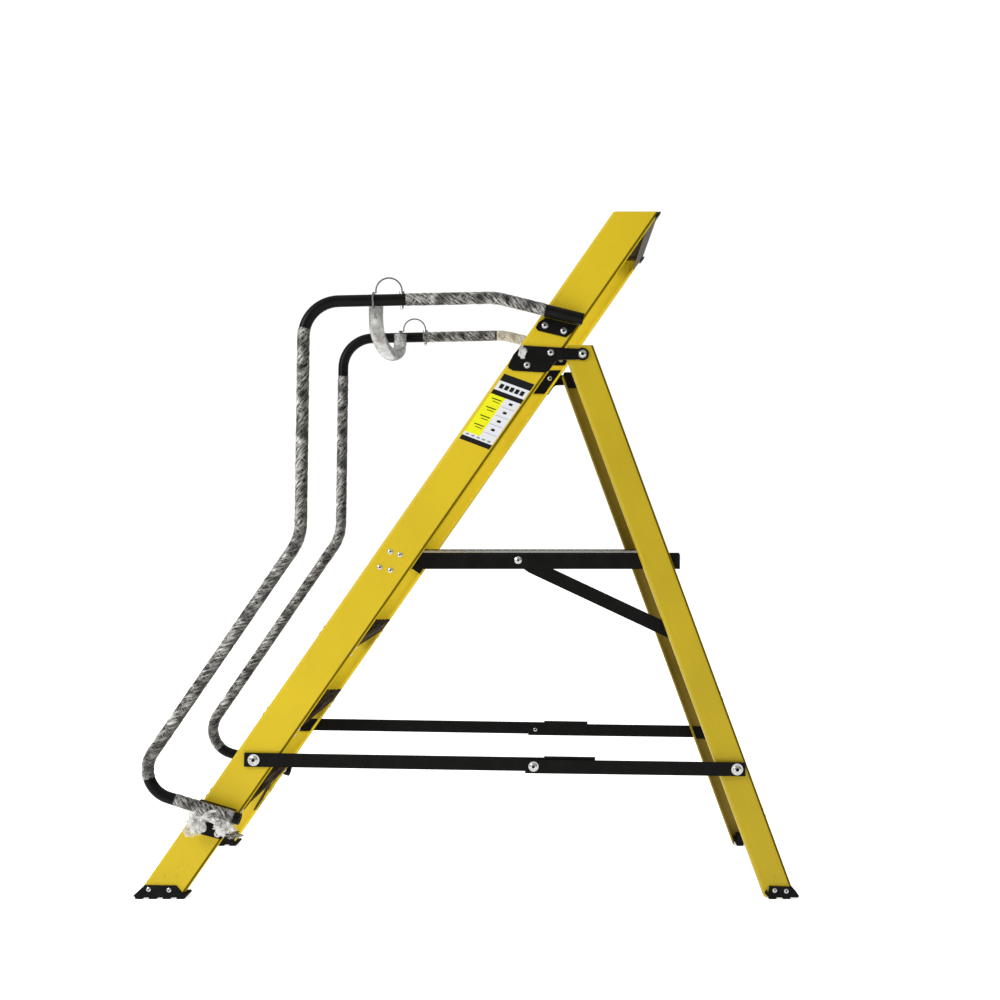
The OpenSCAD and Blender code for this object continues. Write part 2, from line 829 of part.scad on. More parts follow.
module platform_end_caps() {
    color(black) both_sides() difference() {
        across(rail_web_x - 6, rail_web_x + rail_web_t) union() {
            polygon([[rail_rear_y, rail_bottom], [rail_rear_y + 9, rail_bottom],
                [rail_rear_y + 9, rail_top - 6], [rail_rear_y + 3, rail_top], [rail_rear_y, rail_top]]);
            translate([rail_rear_y + 3, rail_top - 6]) circle(r = 6);
        }
        translate([200, rail_rear_y - 20, rail_bottom - 10]) cube([60, 20, 60]);
    }
}

support_h = 18;
module deck_supports() {
    top = platform_height - deck_sheet - 2.5;
    color(black) for (y = [-150, 0, 250, 420]) translate([-221, y, top - support_h]) difference() {
        cube([442, 30, support_h]);
        translate([-1, 2.5, -1]) cube([444, 25, support_h - 1.5]);
    }
}

module strut_pivot_pin() {
    color(zinc) {
        rod_x(strut_top, strut_x - 0.5, rail_web_x + rail_web_t, spreader_pin_r);
        head_x(strut_top, rail_web_x + rail_web_t, 3, 9);
        rod_x(strut_top, strut_x - 3.5, strut_x - 0.5, 8);
    }
}

// ---------- struts ----------
strut_w = 33;
module platform_strut() {
    v = strut_end - strut_top;
    length = norm(v);
    nose = 10;
    taper = 36;
    color(black) difference() {
        translate([strut_x, strut_top[0], strut_top[1]]) rotate([90, 0, 90])
            linear_extrude(strut_t) rotate([0, 0, atan2(v[1], v[0])]) union() {
                circle(r = nose);
                polygon([[0, -nose], [taper, -strut_w / 2], [length, -strut_w / 2],
                    [length, strut_w / 2], [taper, strut_w / 2], [0, nose]]);
                translate([length, 0]) circle(r = strut_w / 2);
            }
        rod_x(strut_top, strut_x - 1, strut_x + strut_t + 1, spreader_pin_r + running);
    }
    color(zinc) rod_x(strut_end, strut_x - 3, strut_x, 9);
}

// ---------- spreaders ----------
bar_tail_y = 308;              // rear end of the front bar, past the knee
stop_start_y = 186;
stop_w = 9;
front_bar_end = 23;
front_bar_angle = -0.9;
module bar_shape(from, angle, before, after) {
    translate(from) rotate(angle) translate([-before, -bar_depth / 2])
        square([before + after, bar_depth]);
}

module spreader_front() {
    length = bar_tail_y - spreader_front_pivot[0];
    stop_start = stop_start_y - spreader_front_pivot[0];
    color(black) {
        difference() {
            across(bar_in, bar_in + sheet)
                bar_shape(spreader_front_pivot, front_bar_angle, front_bar_end, length);
            rod_x(spreader_front_pivot, bar_in - 1, bar_in + sheet + 1, spreader_pin_r + running);
        }
        across(bar_in, bar_in + stop_w) translate(spreader_front_pivot) rotate(front_bar_angle)
            translate([stop_start, bar_depth / 2 - 0.01]) square([length - stop_start, 3]);
    }
}

module spreader_front_r() {
    spreader_front();
}

module spreader_front_l() {
    mirror([1, 0, 0]) spreader_front();
}

rear_bar_end = 20;
module spreader_rear() {
    v = knee - spreader_rear_pivot;
    angle = atan2(v[1], v[0]);
    color(black) difference() {
        across(bar_out, bar_out + sheet)
            bar_shape(spreader_rear_pivot, angle, rear_bar_end, norm(v) + rear_bar_end);
        rod_x(spreader_rear_pivot, bar_out - 1, bar_out + sheet + 1, spreader_pin_r + running);
        rod_x(knee, bar_out - 1, bar_out + sheet + 1, spreader_pin_r);
    }
}

module spreader_rear_r() {
    spreader_rear();
}

module spreader_rear_l() {
    mirror([1, 0, 0]) spreader_rear();
}

module knee_rivet() {
    color(zinc) {
        rod_x(knee, bar_out, bar_out + sheet, spreader_pin_r);
        rod_x(knee, bar_out + sheet, bar_out + sheet + 1.2, 12);
        head_x(knee, bar_out + sheet + 1.2, 3.4, 9.5);
    }
}

module knee_rivet_r() {
    knee_rivet();
}

module knee_rivet_l() {
    mirror([1, 0, 0]) knee_rivet();
}

front_stile_r();
front_stile_l();
step_1();
step_2();
step_3();
step_treads();
step_braces();
step_rivets();
top_channel();
top_end_caps();
front_shoe_r();
front_shoe_l();
front_shoe_rivets();
hinge_plate_r();
hinge_plate_l();
hinge_plate_bolts();
hinge_pivot_bolts();
backing_plates();
platform_brackets();
platform_bracket_rivets();
handrail_r();
handrail_l();
rail_brackets_upper();
rail_brackets_lower();
rail_bracket_bolts();
spreader_bolts_front();
rating_label();
barrier_sleeve();
barrier_rings();
rear_stile_r();
rear_stile_l();
rear_crossbar_lower();
rear_crossbar_middle();
crossbar_rivets();
rear_shoe_r();
rear_shoe_l();
rear_shoe_rivets();
rear_backing_plates();
strut_bracket();
spreader_bolts_rear();
platform_rail_r();
platform_rail_l();
platform_deck();
platform_end_caps();
deck_supports();
strut_pivot_pin();
platform_strut();
spreader_front_r();
spreader_front_l();
spreader_rear_r();
spreader_rear_l();
knee_rivet_r();
knee_rivet_l();
lock_pin_r();
lock_pin_l();
pin_hoop_r();
pin_hoop_l();
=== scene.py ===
"""Looks for the platform step ladder: studio, materials, transit film, label, barrier and bolt heads.

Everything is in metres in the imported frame: +X across the ladder, -Y the climbing side, feet at Z 0.
"""

import json
import math

import bmesh
import bpy
from mathutils import Matrix, Vector, noise

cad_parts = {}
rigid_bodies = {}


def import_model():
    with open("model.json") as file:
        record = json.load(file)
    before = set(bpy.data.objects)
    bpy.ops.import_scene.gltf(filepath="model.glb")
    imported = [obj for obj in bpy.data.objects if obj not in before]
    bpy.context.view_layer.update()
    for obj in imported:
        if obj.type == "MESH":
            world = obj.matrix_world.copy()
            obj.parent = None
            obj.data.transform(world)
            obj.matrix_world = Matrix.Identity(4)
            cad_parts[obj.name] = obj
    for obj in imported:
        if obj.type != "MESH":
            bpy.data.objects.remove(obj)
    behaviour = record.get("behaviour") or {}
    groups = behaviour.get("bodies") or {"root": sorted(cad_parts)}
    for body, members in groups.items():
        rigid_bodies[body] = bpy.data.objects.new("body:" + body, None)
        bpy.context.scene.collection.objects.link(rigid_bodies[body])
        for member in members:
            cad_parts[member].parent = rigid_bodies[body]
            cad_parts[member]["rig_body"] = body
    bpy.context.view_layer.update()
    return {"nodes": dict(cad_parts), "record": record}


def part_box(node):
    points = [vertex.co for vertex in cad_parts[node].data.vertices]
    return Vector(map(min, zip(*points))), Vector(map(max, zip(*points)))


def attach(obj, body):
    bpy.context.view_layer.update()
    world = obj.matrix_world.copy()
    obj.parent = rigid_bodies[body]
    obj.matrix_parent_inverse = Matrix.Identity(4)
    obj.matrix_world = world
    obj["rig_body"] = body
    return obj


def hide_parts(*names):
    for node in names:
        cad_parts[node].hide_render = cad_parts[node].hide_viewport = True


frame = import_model()
MM = 0.001
SAME_POINT = 2e-6       # vertices within this belong together

# ---------- camera ----------
EYE = Vector((3.320, 0.1884, 0.8882))   # level with the platform, on the ladder's right
LENS_MM = 45.96


def make_camera():
    data = bpy.data.cameras.new("camera")
    data.lens = LENS_MM
    data.sensor_width = 36
    data.shift_x = -0.045
    data.shift_y = 0.027
    camera = bpy.data.objects.new("camera", data)
    camera.location = EYE
    camera.rotation_euler = (math.radians(90), 0, math.radians(90))
    bpy.context.scene.collection.objects.link(camera)
    bpy.context.scene.camera = camera


make_camera()


# ---------- node helpers ----------
class Nodes:
    """Short calls for building one material's nodes."""

    def __init__(self, name, **values):
        self.material = bpy.data.materials.new(name)
        self.material.use_nodes = True
        self.tree = self.material.node_tree
        self.shader = self.tree.nodes["Principled BSDF"]
        for key, value in values.items():
            self.shader.inputs[key.replace("_", " ")].default_value = value

    def add(self, kind, **inputs):
        node = self.tree.nodes.new("ShaderNode" + kind)
        for key, value in inputs.items():
            self.put(node, key.replace("_", " "), value)
        return node

    def put(self, node, key, value):
        if isinstance(value, bpy.types.NodeSocket):
            self.tree.links.new(value, node.inputs[key])
        else:
            node.inputs[key].default_value = value

    def coords(self, kind="Object", stretch=(1, 1, 1), turn=(0, 0, 0)):
        """Texture coordinates, turned and then stretched."""
        source = self.add("TexCoord").outputs[kind]
        turned = self.add("Mapping", Vector=source, Rotation=turn)
        return self.add("Mapping", Vector=turned.outputs[0], Scale=stretch).outputs[0]

    def noise(self, vector, scale, detail=3.0, rough=0.5):
        node = self.add("TexNoise", Vector=vector, Scale=scale, Detail=detail, Roughness=rough)
        return node.outputs["Fac"]

    def ramp(self, value, stops):
        """A colour ramp; each stop is (place, colour or grey)."""
        node = self.add("ValToRGB", Fac=value)
        ramp = node.color_ramp
        while len(ramp.elements) < len(stops):
            ramp.elements.new(0.5)
        for element, (place, colour) in zip(ramp.elements, stops):
            element.position = place
            element.color = (*([colour] * 3 if isinstance(colour, (int, float)) else colour), 1)
        return node.outputs["Color"]

    def mix(self, factor, a, b, mode="MIX"):
        node = self.tree.nodes.new("ShaderNodeMix")
        node.data_type = "RGBA"
        node.blend_type = mode
        for socket, value in ((node.inputs[0], factor), (node.inputs[6], a), (node.inputs[7], b)):
            if isinstance(value, bpy.types.NodeSocket):
                self.tree.links.new(value, socket)
            else:
                socket.default_value = value
        return node.outputs[2]

    def math(self, operation, a, b):
        node = self.tree.nodes.new("ShaderNodeMath")
        node.operation = operation
        self.put(node, 0, a)
        self.put(node, 1, b)
        return node.outputs[0]

    def bump(self, height, strength, distance=0.001, soften=0.0):
        node = self.add("Bump", Height=height, Strength=strength, Distance=distance)
        if soften:
            self.tree.links.new(self.edge(soften), node.inputs["Normal"])
        self.set("Normal", node.outputs[0])

    def edge(self, radius):
        """Normals that round a sharp edge over this radius."""
        node = self.add("Bevel", Radius=radius)
        node.samples = 4
        return node.outputs[0]

    def set(self, key, value):
        self.put(self.shader, key, value)


def rgb(r, g, b):
    return (r, g, b, 1)


# ---------- materials ----------
FRONT_LEAN = math.radians(34.88)
REAR_LEAN = math.radians(-20.14)


def fibreglass(name, lean, colour, inside):
    """Pultruded glass fibre: faint grain along the stile, slow shifts of tone, scuffs near the feet.

    colour is the coated outside of the channel, and inside is the colour mixed onto its inward faces as
    painted light or painted shade.
    """
    m = Nodes(name)
    along = m.coords(stretch=(1, 1, 0.03), turn=(lean, 0, 0))
    grain = m.noise(along, 900, 4, 0.6)
    tone = m.noise(m.coords(), 5, 2)
    base = m.mix(m.ramp(tone, [(0.3, 0), (0.7, 1)]), rgb(*[c * 0.90 for c in colour]), rgb(*colour))
    streak = m.ramp(grain, [(0.3, 0.88), (0.6, 1.0)])
    base = m.mix(0.6, base, streak, "MULTIPLY")
    height = m.add("SeparateXYZ", Vector=m.coords()).outputs["Z"]
    low = m.ramp(height, [(0.0, 1), (0.20, 0)])
    scuff = m.ramp(m.noise(m.coords(stretch=(1, 1, 0.35)), 130, 6, 0.7), [(0.60, 0), (0.68, 1)])
    worn = m.mix(1.0, low, scuff, "MULTIPLY")
    base = m.mix(worn, base, rgb(0.25, 0.18, 0.02))
    # Painted light and shade: faces turned in towards the ladder's middle are mixed towards inside, a
    # lighter yellow on the front stiles as painted light and a dark brown on the rear ones as painted shade.
    place = m.add("SeparateXYZ", Vector=m.coords()).outputs["X"]
    facing = m.add("SeparateXYZ", Vector=m.add("NewGeometry").outputs["Normal"]).outputs
    inner = m.math("LESS_THAN", m.math("MULTIPLY", place, facing["X"]), -0.05)
    base = m.mix(inner, base, m.mix(0.8, base, rgb(*inside)))
    # Painted shade: the rounded rear corner of each stile is painted dark brown, with its specular taken
    # out, where the rear edge lies in shade.
    rearward = m.math("ADD", m.math("MULTIPLY", facing["Y"], math.cos(lean)),
                      m.math("MULTIPLY", facing["Z"], -math.sin(lean)))
    rear_corner_shade = m.ramp(rearward, [(0.25, 0), (0.42, 0.85), (0.88, 0.85), (0.97, 0)])
    m.set("Base Color", m.mix(rear_corner_shade, base, rgb(0.050, 0.030, 0.003)))
    m.set("Specular IOR Level", m.ramp(rearward, [(0.25, 0.22), (0.42, 0.0)]))
    m.set("Roughness", m.ramp(grain, [(0.2, 0.38), (0.8, 0.52)]))
    m.bump(grain, 0.12, 0.0004, soften=0.0006)
    return m.material


def powder_coat(name, colour, roughness, peel=0.12):
    """Powder-coated steel: fine orange peel, with a little dust and a few rubbed places."""
    m = Nodes(name, Specular_IOR_Level=0.08)
    fine = m.noise(m.coords(), 1400, 3)
    broad = m.noise(m.coords(), 26, 5, 0.65)
    dusty = m.ramp(broad, [(0.45, 0), (0.85, 1)])
    m.set("Base Color", m.mix(dusty, rgb(*colour), rgb(*[c * 1.5 + 0.002 for c in colour])))
    m.set("Roughness", m.ramp(broad, [(0.3, roughness - 0.06), (0.75, roughness + 0.10)]))
    m.bump(fine, peel, 0.0003, soften=0.0006)
    return m.material


def bronzed(name):
    """Brown-black anodised steps with paler draw lines across the ladder, and no gloss."""
    m = Nodes(name, Specular_IOR_Level=0.0, Roughness=0.8)
    lines = m.noise(m.coords(stretch=(0.012, 1, 1)), 420, 3, 0.6)
    cloud = m.noise(m.coords(), 14, 3)
    fade = m.ramp(cloud, [(0.35, 0.25), (0.65, 1)])
    worn = m.mix(1.0, m.ramp(lines, [(0.50, 0), (0.66, 1)]), fade, "MULTIPLY")
    m.set("Base Color", m.mix(worn, rgb(0.030, 0.021, 0.013), rgb(0.20, 0.17, 0.13)))
    m.bump(lines, 0.2, 0.0003, soften=0.0005)
    return m.material


def plated(name, colour=(0.54, 0.54, 0.53), roughness=0.20):
    """Bright zinc plate with faint turning marks and a duller bloom here and there."""
    m = Nodes(name, Metallic=1.0)
    bloom = m.noise(m.coords(), 160, 4)
    m.set("Base Color", m.ramp(bloom, [(0.3, [c * 0.8 for c in colour]), (0.7, list(colour))]))
    m.set("Roughness", m.ramp(bloom, [(0.3, roughness), (0.8, roughness + 0.18)]))
    m.bump(m.noise(m.coords(stretch=(6, 1, 1)), 900, 2), 0.08, 0.0003, soften=0.0004)
    return m.material


def mill_aluminium(name):
    """Extruded aluminium: draw lines across the ladder and dull handling marks."""
    m = Nodes(name, Metallic=0.75)
    lines = m.noise(m.coords(stretch=(0.02, 1, 1)), 1100, 3)
    marks = m.noise(m.coords(), 40, 5, 0.7)
    m.set("Base Color", m.ramp(marks, [(0.35, (0.34, 0.33, 0.31)), (0.7, (0.50, 0.49, 0.46))]))
    m.set("Roughness", m.ramp(marks, [(0.3, 0.34), (0.8, 0.52)]))
    m.bump(lines, 0.2, 0.0003, soften=0.0005)
    return m.material


def moulded(name, colour, roughness, grain_scale=2200, grain=0.25):
    """Moulded rubber or plastic with a fine matt grain and dusty hollows."""
    m = Nodes(name, Specular_IOR_Level=0.08)
    fine = m.noise(m.coords(), grain_scale, 4)
    dust = m.noise(m.coords(), 60, 5, 0.7)
    pale = [c * 2.0 + 0.006 for c in colour]
    m.set("Base Color", m.mix(m.ramp(dust, [(0.5, 0), (0.9, 1)]), rgb(*colour), rgb(*pale)))
    m.set("Roughness", roughness)
    m.bump(fine, grain, 0.0004, soften=0.0008)
    return m.material


def printed(name, colour):
    """Ink on glossy label film, with a faint mottle."""
    m = Nodes(name, Roughness=0.35, Specular_IOR_Level=0.15, Coat_Weight=0.06, Coat_Roughness=0.12)
    mottle = m.noise(m.coords(), 300, 3)
    m.set("Base Color", m.ramp(mottle, [(0.3, [c * 0.94 for c in colour]), (0.7, list(colour))]))
    m.bump(m.noise(m.coords(), 45, 2), 0.06, 0.0006)
    return m.material


def transit_film(name, dark, pale, cover):
    """Stretch film wound on a tube: clear over the paint, white where it creases, with painted light making
    it whiter on its -Y side.

    UVs are in metres along the tube.
    """
    m = Nodes(name, Specular_IOR_Level=0.15, Coat_Weight=0.12, Coat_Roughness=0.15)
    metric = m.add("Mapping", Vector=m.add("TexCoord").outputs["UV"], Scale=(1, 0.09, 1)).outputs[0]

    def slanted(angle, squeeze, scale, detail):
        turned = m.add("Mapping", Vector=metric, Rotation=(0, 0, angle)).outputs[0]
        return m.noise(m.add("Mapping", Vector=turned, Scale=(1, squeeze, 1)).outputs[0], scale, detail, 0.6)

    steep = slanted(0.85, 0.16, 230, 4)
    shallow = slanted(-0.5, 0.13, 360, 3)
    patches = m.noise(metric, 30, 4)
    first = m.ramp(steep, [(0.50 - cover * 0.12, 0), (0.70 - cover * 0.10, 1)])
    second = m.ramp(shallow, [(0.56 - cover * 0.12, 0), (0.72 - cover * 0.10, 0.7)])
    both = m.mix(1.0, first, second, "LIGHTEN")
    mask = m.mix(m.ramp(patches, [(0.38, 0.9), (0.56, 0.0)]), both, m.mix(0.8, both, rgb(0, 0, 0)))
    # Painted light: creases are whiter on faces turned to -Y, towards the key light, and greyer on faces
    # turned to +Y.
    across = m.add("SeparateXYZ", Vector=m.add("NewGeometry").outputs["Normal"]).outputs["Y"]
    lit_side_whitening = m.ramp(m.math("ADD", 0.5, m.math("MULTIPLY", across, -0.5)), [(0.15, 0.35), (0.75, 1.0)])
    mask = m.mix(1.0, mask, lit_side_whitening, "MULTIPLY")
    m.set("Base Color", m.mix(mask, rgb(*dark), rgb(*pale)))
    m.set("Roughness", m.ramp(steep, [(0.3, 0.15), (0.7, 0.4)]))
    m.bump(m.mix(0.5, steep, shallow, "ADD"), 0.8, 0.0014)
    return m.material


def crumpled_film(name, pale, alpha):
    """A loose scrap of clear film: pale where it folds, clear where it is single."""
    m = Nodes(name, Roughness=0.18, Coat_Weight=1.0, Coat_Roughness=0.06)
    folds = m.noise(m.coords(), 70, 3, 0.55)
    m.set("Base Color", m.ramp(folds, [(0.36, [c * 0.55 for c in pale]), (0.56, list(pale))]))
    m.set("Alpha", m.ramp(folds, [(0.36, alpha * 0.45), (0.60, alpha)]))
    m.bump(folds, 0.7, 0.004)
    return m.material


def clear_sleeve(name):
    """Soft translucent tube: milky, with a few olive-grey spots where the chain lies against the wall."""
    m = Nodes(name, Roughness=0.28, Coat_Weight=0.6, Coat_Roughness=0.12, IOR=1.45)
    cloud = m.noise(m.coords("UV", stretch=(1, 0.11, 1)), 26, 2, 0.5)
    spots = m.noise(m.coords("UV", stretch=(1, 0.10, 1)), 62, 2, 0.5)
    milk = m.ramp(cloud, [(0.36, (0.27, 0.27, 0.255)), (0.62, (0.50, 0.50, 0.49))])
    m.set("Base Color", m.mix(m.ramp(spots, [(0.53, 0), (0.66, 0.8)]), milk, rgb(0.11, 0.105, 0.08)))
    m.set("Alpha", m.ramp(cloud, [(0.3, 0.86), (0.6, 0.97)]))
    m.set("Subsurface Weight", 0.2)
    m.set("Subsurface Radius", (0.01, 0.01, 0.009))
    m.bump(cloud, 0.25, 0.002)
    return m.material


INK = (0.008, 0.008, 0.008)
# The last colour of each is painted onto the inner faces: a lighter yellow as painted light on the front
# stiles, a dark brown as painted shade on the rear ones.
FRONT_YELLOW = fibreglass("front_fibreglass", FRONT_LEAN, (0.60, 0.435, 0.010), (0.84, 0.63, 0.02))
# Painted shade: the rear stiles' yellow is a darker copy of the front stiles' yellow.
REAR_SHADED_YELLOW = fibreglass("rear_fibreglass", REAR_LEAN, (0.46, 0.335, 0.008), (0.19, 0.125, 0.004))
BLACK_STEEL = powder_coat("black_powder_coat", (0.0036, 0.0034, 0.0030), 0.45)
RAIL_BLACK = powder_coat("handrail_gloss", (0.0038, 0.0036, 0.0034), 0.30, 0.06)
ZINC = plated("zinc_plate")
WIRE = plated("hoop_wire", (0.16, 0.16, 0.16), 0.34)
# Painted shade: the near-black floor of each bolt head's socket.
SOCKET_SHADE = moulded("socket_shadow", (0.004, 0.004, 0.004), 0.6)
ALUMINIUM = mill_aluminium("ribbed_aluminium")
STEP = bronzed("bronzed_step")
CHANNEL = moulded("top_channel_paint", (0.060, 0.052, 0.034), 0.5, 900, 0.1)
RUBBER = moulded("sole_rubber", (0.006, 0.006, 0.006), 0.75)
PLASTIC = moulded("cap_plastic", (0.006, 0.006, 0.006), 0.5, 1500, 0.15)
LABEL_WHITE = printed("label_white", (0.66, 0.67, 0.70))
LABEL_BLACK = printed("label_black", INK)
LABEL_YELLOW = printed("label_yellow", (0.72, 0.72, 0.010))
LABEL_GREY = printed("label_grey", (0.22, 0.22, 0.22))
FILM = transit_film("transit_film", (0.006, 0.006, 0.005), (0.70, 0.68, 0.64), 0.55)
CREAM_FILM = transit_film("cream_film", (0.30, 0.26, 0.17), (0.80, 0.76, 0.66), 1.0)
SCRAP = crumpled_film("film_scrap", (0.80, 0.79, 0.76), 0.62)
TAIL = crumpled_film("film_tail", (0.20, 0.19, 0.13), 0.9)
SLEEVE = clear_sleeve("barrier_tube")

BY_SLOT = {
    "black_steel": BLACK_STEEL,
    "handrail_tube": RAIL_BLACK,
    "tread_grey": ALUMINIUM,
    "zinc_steel": ZINC,
    "black_rubber": RUBBER,
    "black_plastic": PLASTIC,
    "label_white": LABEL_WHITE,
    "barrier_sleeve": SLEEVE,
}
BY_NODE = {"pin_hoop_r": WIRE, "pin_hoop_l": WIRE, "top_channel": CHANNEL, "barrier_rings": WIRE,
           "step_1": STEP, "step_2": STEP, "step_3": STEP, "step_treads": STEP, "step_braces": STEP}


def paint_frame():
    """Gives every CAD node the material of its slot in the record."""
    for sub in frame["record"]["subparts"]:
        node = sub["node"]
        material = BY_SLOT.get(sub["material_slot"])
        if material is None:
            material = REAR_SHADED_YELLOW if node.startswith("rear") else FRONT_YELLOW
        material = BY_NODE.get(node, material)
        mesh = frame["nodes"][node].data
        mesh.materials.clear()
        mesh.materials.append(material)


paint_frame()


# ---------- mesh helpers ----------
def make_piece(name, bm, materials, body, smooth):
    """Turns a bmesh into an object that rides on a body. Edges over smooth degrees stay sharp."""
    mesh = bpy.data.meshes.new(name)
    bmesh.ops.recalc_face_normals(bm, faces=bm.faces)
    bm.to_mesh(mesh)
    bm.free()
    for material in materials:
        mesh.materials.append(material)
    piece = bpy.data.objects.new(name, mesh)
    bpy.context.scene.collection.objects.link(piece)
    mesh.polygons.foreach_set("use_smooth", [True] * len(mesh.polygons))
    mesh.set_sharp_from_angle(angle=math.radians(smooth))
    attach(piece, body)
    return piece


def islands(node):
    """(low, high) corners of each separate solid of a CAD node."""
    mesh = frame["nodes"][node].data
    keys = [tuple(round(c / SAME_POINT) for c in v.co) for v in mesh.vertices]
    parent = {k: k for k in keys}

    def root(k):
        while parent[k] != k:
            parent[k] = parent[parent[k]]
            k = parent[k]
        return k

    for polygon in mesh.polygons:
        first = root(keys[polygon.vertices[0]])
        for i in polygon.vertices[1:]:
            parent[root(keys[i])] = first
    boxes = {}
    for key, vertex in zip(keys, mesh.vertices):
        low, high = boxes.setdefault(root(key), (vertex.co.copy(), vertex.co.copy()))
        for axis in range(3):
            low[axis] = min(low[axis], vertex.co[axis])
            high[axis] = max(high[axis], vertex.co[axis])
    return sorted(boxes.values(), key=lambda box: tuple(box[0]))


def sweep(bm, points, radius, sides, across, closed_ends=True):
    """A tube along points. radius(distance, angle) is in metres. Writes UVs: metres along, turns round."""
    uv = bm.loops.layers.uv.verify()
    rings, travelled, distances = [], 0.0, []
    normal = Vector(across)
    for i, point in enumerate(points):
        if i:
            travelled += (point - points[i - 1]).length
        ahead = points[min(i + 1, len(points) - 1)] - points[max(i - 1, 0)]
        ahead.normalize()
        u = (normal - ahead * normal.dot(ahead)).normalized()
        v = ahead.cross(u)
        ring = []
        for k in range(sides):
            angle = 2 * math.pi * k / sides
            offset = u * math.cos(angle) + v * math.sin(angle)
            ring.append(bm.verts.new(point + offset * radius(travelled, angle)))
        rings.append(ring)
        distances.append(travelled)
    for i in range(len(rings) - 1):
        for k in range(sides):
            n = (k + 1) % sides
            face = bm.faces.new((rings[i][k], rings[i][n], rings[i + 1][n], rings[i + 1][k]))
            corners = ((i, k), (i, k + 1), (i + 1, k + 1), (i + 1, k))
            for loop, (a, b) in zip(face.loops, corners):
                loop[uv].uv = (distances[a], b / sides)
    if closed_ends:
        bm.faces.new(rings[0][::-1])
        bm.faces.new(rings[-1])


def lathe(bm, centre, axis, profile, sides):
    """Turns a profile of (along, radius) about an axis. A radius of 0 closes an end."""
    axis = Vector(axis).normalized()
    side = axis.orthogonal().normalized()
    up = axis.cross(side)
    previous = None
    for along, radius in profile:
        if radius == 0:
            ring = [bm.verts.new(centre + axis * along)]
        else:
            ring = [bm.verts.new(centre + axis * along + (side * math.cos(a) + up * math.sin(a)) * radius)
                    for a in (2 * math.pi * k / sides for k in range(sides))]
        if previous is not None:
            for k in range(sides):
                n = (k + 1) % sides
                a, b = previous[k % len(previous)], previous[n % len(previous)]
                c, d = ring[n % len(ring)], ring[k % len(ring)]
                corners = [x for i, x in enumerate((a, b, c, d)) if x not in (a, b, c, d)[:i]]
                if len(corners) > 2:
                    bm.faces.new(corners)
        previous = ring


# ---------- handrail line ----------
RAIL_CORNERS = [(0.279, 1.380), (0.072, 1.431), (-0.382, 1.421), (-0.390, 0.862), (-0.794, 0.275),
                (-0.533, 0.196)]
RAIL_BENDS = [0, 0.150, 0.085, 0.120, 0.070, 0]
RAIL_X = (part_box("handrail_r")[0].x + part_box("handrail_r")[1].x) / 2
RAIL_R = (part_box("handrail_r")[1].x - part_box("handrail_r")[0].x) / 2
FILM_CLEAR = 0.5 * MM   # film's thickness over the paint
FILM_PITCH = 0.034      # how far each turn of the film moves along the tube
FILM_SHEET = 0.35 * MM  # step where one turn laps over the last


def rounded_line(corners, bends, x, step=0.004):
    """Points a step apart along a line of corners with arcs of the given radii."""
    flat = [Vector((x, y, z)) for y, z in corners]
    points = [flat[0]]

    def straight_to(end):
        start = points[-1]
        count = max(1, round((end - start).length / step))
        points.extend(start.lerp(end, i / count) for i in range(1, count + 1))

    for i in range(1, len(flat) - 1):
        back = (flat[i - 1] - flat[i]).normalized()
        on = (flat[i + 1] - flat[i]).normalized()
        half = back.angle(on) / 2
        tangent = bends[i] / math.tan(half)
        straight_to(flat[i] + back * tangent)
        centre = flat[i] + (back + on).normalized() * (bends[i] / math.sin(half))
        start, end = points[-1] - centre, flat[i] + on * tangent - centre
        sweep_angle = start.angle(end)
        axis = start.cross(end).normalized()
        count = max(3, round(sweep_angle * bends[i] / step))
        points.extend(centre + Matrix.Rotation(sweep_angle * k / count, 3, axis) @ start
                      for k in range(1, count + 1))
    straight_to(flat[-1])
    return points


def stretch(points, start, end):
    """The part of a line between the points nearest to two (y, z) places."""
    def nearest(place):
        target = Vector((points[0].x, *place))
        return min(range(len(points)), key=lambda i: (points[i] - target).length)
    a, b = sorted((nearest(start), nearest(end)))
    return points[a:b + 1]


def film_radius(seed, ruffle):
    """Radius of wound film: overlapping turns and ruffles."""
    def radius(distance, angle):
        helix = (distance / FILM_PITCH + angle / (2 * math.pi) + seed) % 1.0
        lap = FILM_SHEET * (1 - helix)
        spot = Vector((distance * 95, math.cos(angle) * 1.2 + seed * 7, math.sin(angle) * 1.2))
        return RAIL_R + FILM_CLEAR + lap + ruffle * noise.noise(spot)
    return radius


def wrap(name, side, start, end, material=FILM, ruffle=0.6 * MM, seed=0.0):
    """Film on the side's handrail, between the points nearest to two (y, z) places."""
    line = rounded_line(RAIL_CORNERS, RAIL_BENDS, side * RAIL_X)
    bm = bmesh.new()
    sweep(bm, stretch(line, start, end), film_radius(seed, ruffle), 24, across=(-1, 0, 0))
    return make_piece(name, bm, [material], "front_frame", 60)


RAIL_FOOT = (-0.548, 0.200)
wrap("film_upper_r", 1, (0.188, 1.402), (-0.140, 1.427), seed=0.3)
wrap("film_grip_r", 1, (-0.386, 1.359), (-0.765, 0.286), seed=1.1, ruffle=0.8 * MM)
wrap("film_foot_r", 1, (-0.685, 0.242), RAIL_FOOT, seed=2.6, ruffle=0.9 * MM)
wrap("film_cream_l", -1, (0.188, 1.402), (0.053, 1.426), CREAM_FILM, seed=3.7, ruffle=0.9 * MM)
wrap("film_upper_l", -1, (0.049, 1.427), (-0.1545, 1.427), seed=4.2)
wrap("film_grip_l", -1, (-0.385, 1.317), (-0.727, 0.268), seed=5.9, ruffle=0.8 * MM)


